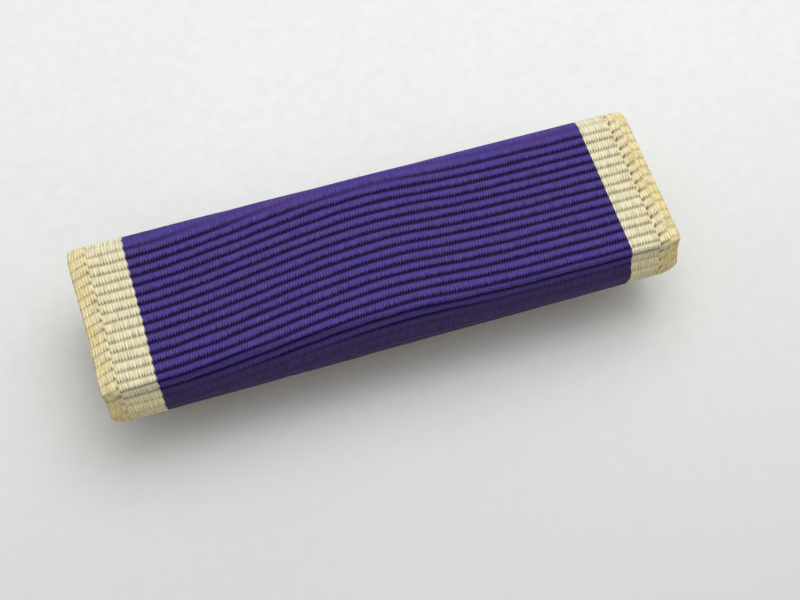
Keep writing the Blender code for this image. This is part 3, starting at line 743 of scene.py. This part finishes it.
# frayed rayon: fine, silky and a shade paler than the cloth
def fibreMaterial(s, purpleHalf):
    made, shader, put = startMaterial("frayedRayon", Roughness=0.6, Specular_IOR_Level=0.2)
    spot = put("ShaderNodeTexCoord", {}, "Object")
    apart = made.node_tree.nodes.new("ShaderNodeSeparateXYZ")
    made.node_tree.links.new(spot, apart.inputs[0])
    sideways = put("ShaderNodeMath", {0: apart.outputs["X"]}, operation="ABSOLUTE")
    border = put("ShaderNodeMath", {0: sideways, 1: purpleHalf * mm}, operation="GREATER_THAN")
    feeds = {0: border, 6: linear(s["purple"]), 7: linear(s["cream"])}
    tone = put("ShaderNodeMix", feeds, **asColour)
    cloud = put("ShaderNodeTexNoise", {"Vector": spot, "Scale": 1 / (s["cloud"] * mm), "Detail": 3.0})
    shade = put("ShaderNodeMapRange", {"Value": cloud, **mostNoise, 3: 0.75, 4: 1.15})
    tone = put("ShaderNodeVectorMath", {0: tone, 3: shade}, operation="SCALE")
    made.node_tree.links.new(tone, shader.inputs["Base Color"])
    return made


def addFibres(s, cloth, purpleHalf):
    values = {
        "Density": s["perSquare"] / mm**2,
        "Reach": s["reach"] * mm,
        "Radius": s["radius"] * mm,
        "Seed": s["seed"],
        "Cloth": cloth,
        "Material": fibreMaterial(s, purpleHalf),
    }
    made = runTree("looseFibres", fibreTree(s), values)
    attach(made, "bar")
    return made


def addRibbon(s, paths, weave):
    (endPath, endMiddle), (middlePath, middleMiddle) = addPaths(paths)
    firstRow = s["firstGroove"] - s["ribsInFront"] * s["pitch"]
    values = {
        "Half width": s["halfWidth"] * mm,
        "Rib pitch": s["pitch"] * mm,
        "Rib height": s["ribHeight"] * mm,
        "Thickness": s["thickness"] * mm,
        "Wall thickness": s["wallThickness"] * mm,
        "First row": firstRow * mm,
        "Last row": (firstRow + s["ribs"] * s["pitch"]) * mm,
        "End path middle": endMiddle,
        "Middle path middle": middleMiddle,
        "Rib shift": s["frontRise"] * mm,
        "Rib hump": s["middleHump"] * mm,
        "Columns": s["columns"],
        "Inner columns": s["innerColumns"],
        "Rows": s["ribs"] * s["rowsPerRib"] + 1,
        "Seed": s["seed"],
        "End path": endPath,
        "Middle path": middlePath,
        "Material": weaveMaterial(s, weave),
    }
    made = runTree("ribbonCloth", ribbonTree(s), values)
    closeAndTurnOut(made.data)
    bpy.data.objects.remove(endPath)
    bpy.data.objects.remove(middlePath)
    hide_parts("ribbon")
    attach(made, "bar")
    fibres = addFibres(fibrePlan, made, s["purpleHalf"])
    return made, fibres


# metals: base and tarnish colours, roughness of each, grain of the marks in mm
metalPlan = {
    "rolledBrassSheet": ("#cba662", "#a6844c", 0.34, 0.52, (2.4, 0.25)),  # dull yellow, browner in patches
    "stampedBrass": ("#d3b06c", "#ab8a54", 0.28, 0.46, (1.2, 0.2)),  # brighter where it is rubbed
    "nickelPlatedSteel": ("#cbc7bf", "#a6a098", 0.22, 0.38, (0.8, 0.15)),  # warm grey, worn satin
}
brushPlan = {"stretch": 0.08, "contrast": 0.3, "roughens": 0.16, "bump": 0.008}  # the bump in mm


def metalMaterial(name, plan, brush):
    bright, dull, sleek, rough, (patch, scratch) = plan
    made, shader, put = startMaterial(name, Metallic=1.0)
    tree = made.node_tree
    ease = "ShaderNodeMapRange"
    spot = put("ShaderNodeTexCoord", {}, "Object")
    feeds = {"Vector": spot, "Scale": 1 / (patch * mm), "Detail": 5.0, "Roughness": 0.62}
    cloud = put("ShaderNodeTexNoise", feeds)
    amount = put(ease, {"Value": cloud, 1: 0.4, 2: 0.66})
    tone = put("ShaderNodeMix", {0: amount, 6: linear(bright), 7: linear(dull)}, **asColour)
    lengthwise = put("ShaderNodeMapping", {"Vector": spot, "Scale": (brush["stretch"], 1, 1)})
    feeds = {"Vector": lengthwise, "Scale": 1 / (scratch * mm * 0.5), "Detail": 3.0}
    brushed = put("ShaderNodeTexNoise", feeds)
    contrast = brush["contrast"]
    feeds = {0: brushed, 1: contrast, 2: 1 - contrast / 2}
    fine = put("ShaderNodeMath", feeds, operation="MULTIPLY_ADD")
    tone = put("ShaderNodeVectorMath", {0: tone, 3: fine}, operation="SCALE")
    tree.links.new(tone, shader.inputs["Base Color"])
    gloss = put(ease, {"Value": amount, 3: sleek, 4: rough})
    feeds = {0: brushed, 1: brush["roughens"], 2: gloss}
    gloss = put("ShaderNodeMath", feeds, operation="MULTIPLY_ADD")
    tree.links.new(gloss, shader.inputs["Roughness"])
    lift = put("ShaderNodeBump", {"Height": brushed, "Distance": brush["bump"] * mm, "Strength": 0.5})
    tree.links.new(lift, shader.inputs["Normal"])
    return made


# pressed greyboard: dull, with short paler and darker fibres
cardPlan = {"pale": "#a99a80", "dark": "#857660", "fibre": 0.22, "stretch": 0.35, "bump": 0.02}


def cardMaterial(plan):
    made, shader, put = startMaterial("pressedGreyboard", Roughness=0.9)
    spot = put("ShaderNodeTexCoord", {}, "Object")
    lengthwise = put("ShaderNodeMapping", {"Vector": spot, "Scale": (plan["stretch"], 1, 1)})
    feeds = {"Vector": lengthwise, "Scale": 1 / (plan["fibre"] * mm), "Detail": 4.0}
    fibre = put("ShaderNodeTexNoise", feeds)
    amount = put("ShaderNodeMapRange", {"Value": fibre, 1: 0.35, 2: 0.65})
    tone = put("ShaderNodeMix", {0: amount, 6: linear(plan["dark"]), 7: linear(plan["pale"])}, **asColour)
    made.node_tree.links.new(tone, shader.inputs["Base Color"])
    lift = put("ShaderNodeBump", {"Height": fibre, "Distance": plan["bump"] * mm, "Strength": 0.6})
    made.node_tree.links.new(lift, shader.inputs["Normal"])
    return made


# hard pieces: the CAD node, its body, material, slot and the rounding of its edges in mm
hardPieces = (
    ("bar_tray", "bar", "rolledBrassSheet", "brass_sheet", 0.05),
    ("back_plate", "bar", "rolledBrassSheet", "brass_sheet", 0.09),
    ("hinge_bracket", "bar", "stampedBrass", "brass_fitting", 0.05),
    ("catch_base", "bar", "stampedBrass", "brass_fitting", 0.04),
    ("hinge_rivet_outer", "bar", "stampedBrass", "brass_fitting", 0.03),
    ("hinge_rivet_inner", "bar", "stampedBrass", "brass_fitting", 0.03),
    ("catch_rivet_inner", "bar", "stampedBrass", "brass_fitting", 0.03),
    ("catch_rivet_outer", "bar", "stampedBrass", "brass_fitting", 0.03),
    ("hinge_pin", "bar", "nickelPlatedSteel", "plated_steel", 0.04),
    ("pin_stem", "pin", "nickelPlatedSteel", "plated_steel", 0.03),
    ("catch_rotor", "catch", "nickelPlatedSteel", "plated_steel", 0.04),
)
edgePlan = {"flatWithin": 1, "roundAbove": 35, "sharpAbove": 40, "segments": 3}  # degrees, and steps


def addHardPiece(plan, node, body, material, rounding):
    work = bmesh.new()
    work.from_mesh(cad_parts[node].data)
    bmesh.ops.remove_doubles(work, verts=work.verts, dist=0.0005 * mm)
    flat = radians(plan["flatWithin"])
    bmesh.ops.dissolve_limit(work, angle_limit=flat, verts=work.verts, edges=work.edges)
    mesh = bpy.data.meshes.new(node + "Finished")
    work.to_mesh(mesh)
    work.free()
    made = linkToScene(node + "Finished", mesh)
    bevel = made.modifiers.new("edges", "BEVEL")
    bevel.width = rounding * mm
    bevel.segments = plan["segments"]
    bevel.limit_method = "ANGLE"
    bevel.angle_limit = radians(plan["roundAbove"])
    graph = bpy.context.evaluated_depsgraph_get()
    made.data = bpy.data.meshes.new_from_object(made.evaluated_get(graph), depsgraph=graph)
    made.data.name = node + "Finished"
    made.modifiers.clear()
    made.data.shade_smooth()
    made.data.set_sharp_from_angle(angle=radians(plan["sharpAbove"]))
    made.data.materials.clear()
    made.data.materials.append(material)
    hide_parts(node)
    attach(made, body)


addCamera(cameraPlan)
addLights(lightPlan)
addFloor(floorPlan)
print("camera, lights and floor are ready")
ribbon, fibres = addRibbon(ribbonPlan, pathPlan, weavePlan)
print("ribbon:", len(ribbon.data.polygons), "faces, fibres:", len(fibres.data.polygons))
metals = {name: metalMaterial(name, plan, brushPlan) for name, plan in metalPlan.items()}
for node, body, metal, slotName, rounding in hardPieces:
    addHardPiece(edgePlan, node, body, metals[metal], rounding)
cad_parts["filler_card"].data.materials[0] = cardMaterial(cardPlan)
print("hard pieces are ready")
